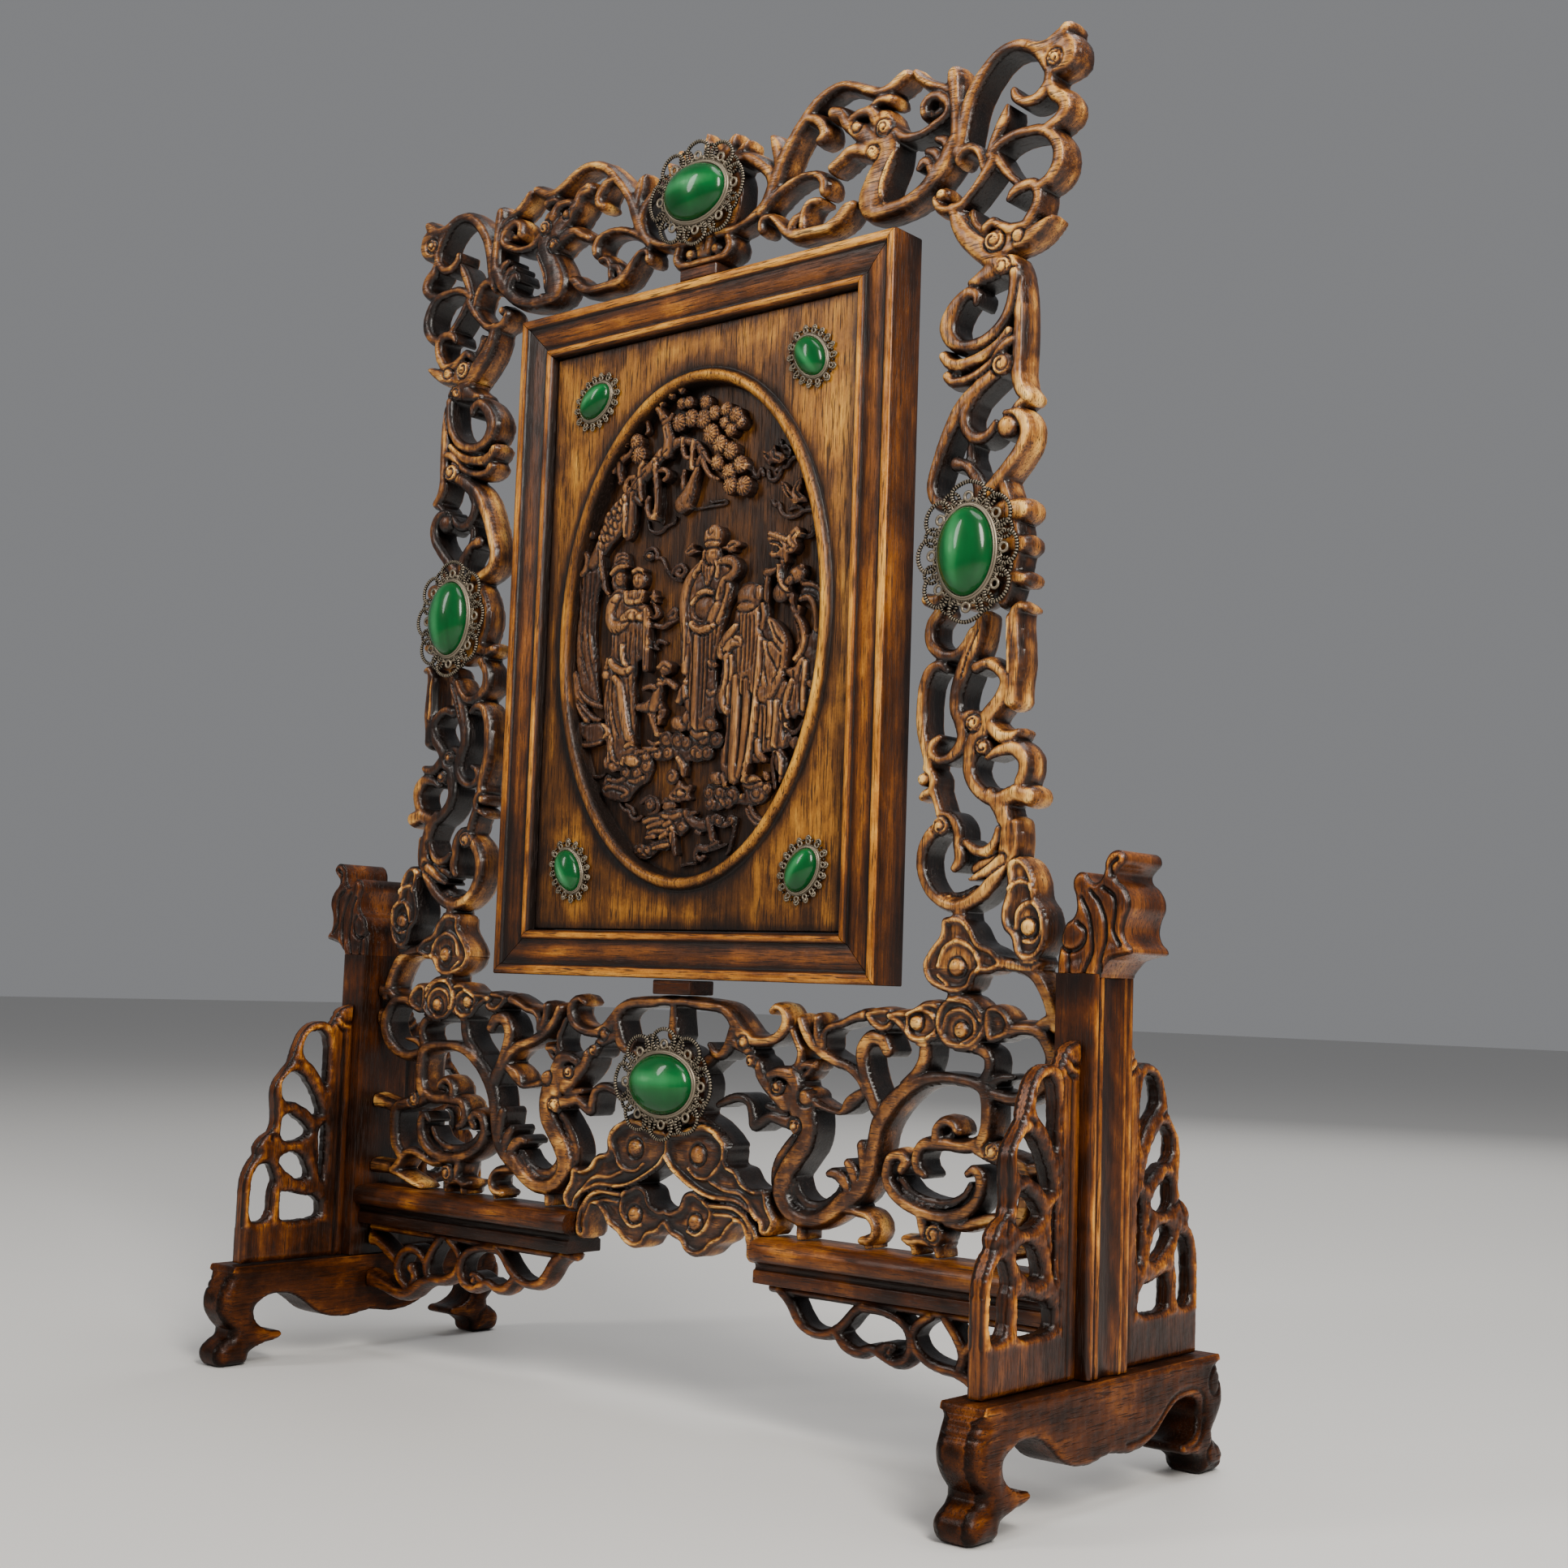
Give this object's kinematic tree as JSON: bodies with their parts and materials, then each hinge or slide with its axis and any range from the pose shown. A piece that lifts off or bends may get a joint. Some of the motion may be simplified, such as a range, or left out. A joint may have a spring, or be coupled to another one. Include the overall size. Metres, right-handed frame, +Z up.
{
  "type": "carved wooden table screen on stand",
  "caption": "Openwork carved hardwood table screen: a framed relief panel with an oval field, set in scrolled boards on a footed stand, trimmed with green oval stones.",
  "frame": {"origin": "centre of the footprint, on the plane of the foot undersides", "axes": "+Z up, +X to the right seen from the carved front, +Y away from the carved front"},
  "size_m": [0.3232, 0.1216, 0.3973],
  "materials": {
    "carved_board_wood": "antiqued satin lacquer, dark stain in the recesses",
    "stand_wood": "antiqued satin lacquer, dark stain in the recesses",
    "frame_wood": "satin lacquer",
    "relief_wood": "antiqued satin lacquer, golden raised carving",
    "stone": "polished deep green stone with a paler band",
    "setting_metal": "dark antique wirework"
  },
  "bodies": {
    "root": {"apron_left": "stand_wood", "apron_right": "stand_wood", "block_bottom": "stand_wood", "block_top": "stand_wood", "cabochon_bottom": "stone", "cabochon_corner_lower_left": "stone", "cabochon_corner_lower_right": "stone", "cabochon_corner_upper_left": "stone", "cabochon_corner_upper_right": "stone", "cabochon_side_left": "stone", "cabochon_side_right": "stone", "cabochon_top": "stone", "crest_rail": "carved_board_wood", "foot_left": "stand_wood", "foot_right": "stand_wood", "frame_bottom": "frame_wood", "frame_left": "frame_wood", "frame_right": "frame_wood", "frame_top": "frame_wood", "lower_board": "carved_board_wood", "post_left": "stand_wood", "post_right": "stand_wood", "rail_left": "stand_wood", "rail_right": "stand_wood", "relief_panel": "relief_wood", "setting_bottom": "setting_metal", "setting_corner_lower_left": "setting_metal", "setting_corner_lower_right": "setting_metal", "setting_corner_upper_left": "setting_metal", "setting_corner_upper_right": "setting_metal", "setting_side_left": "setting_metal", "setting_side_right": "setting_metal", "setting_top": "setting_metal", "spandrel_back_left": "stand_wood", "spandrel_back_right": "stand_wood", "spandrel_front_left": "stand_wood", "spandrel_front_right": "stand_wood", "stile_left": "carved_board_wood", "stile_right": "carved_board_wood"}
  },
  "joints": []
}
